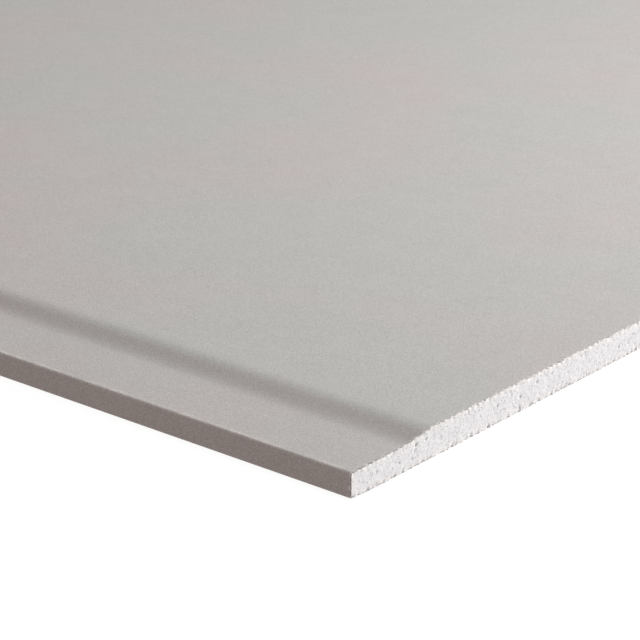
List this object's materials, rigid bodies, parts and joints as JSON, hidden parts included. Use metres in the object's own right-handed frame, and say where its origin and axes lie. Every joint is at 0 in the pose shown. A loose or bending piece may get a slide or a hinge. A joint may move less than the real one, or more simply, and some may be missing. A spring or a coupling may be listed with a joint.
{
  "type": "drywall sheet",
  "caption": "Flat rectangular gypsum board with grey paper faces, tapered long edges for jointing and square-cut ends that show the white core.",
  "frame": {"origin": "centre of the back of the board, on the surface it lies on", "axes": "+X along the length, +Y across the width, +Z out of the face"},
  "size_m": [2.4, 1.2, 0.0125],
  "materials": {
    "gypsum": "matt white foamed gypsum, sawn or snapped, with fine grain and small air pores",
    "face_paper": "matt light grey liner board with fine fibre mottling",
    "back_paper": "matt grey-brown recycled liner board with flecks of fibre"
  },
  "bodies": {
    "root": {"gypsum_core": "gypsum", "face_paper": "face_paper", "back_paper": "back_paper"}
  },
  "joints": []
}
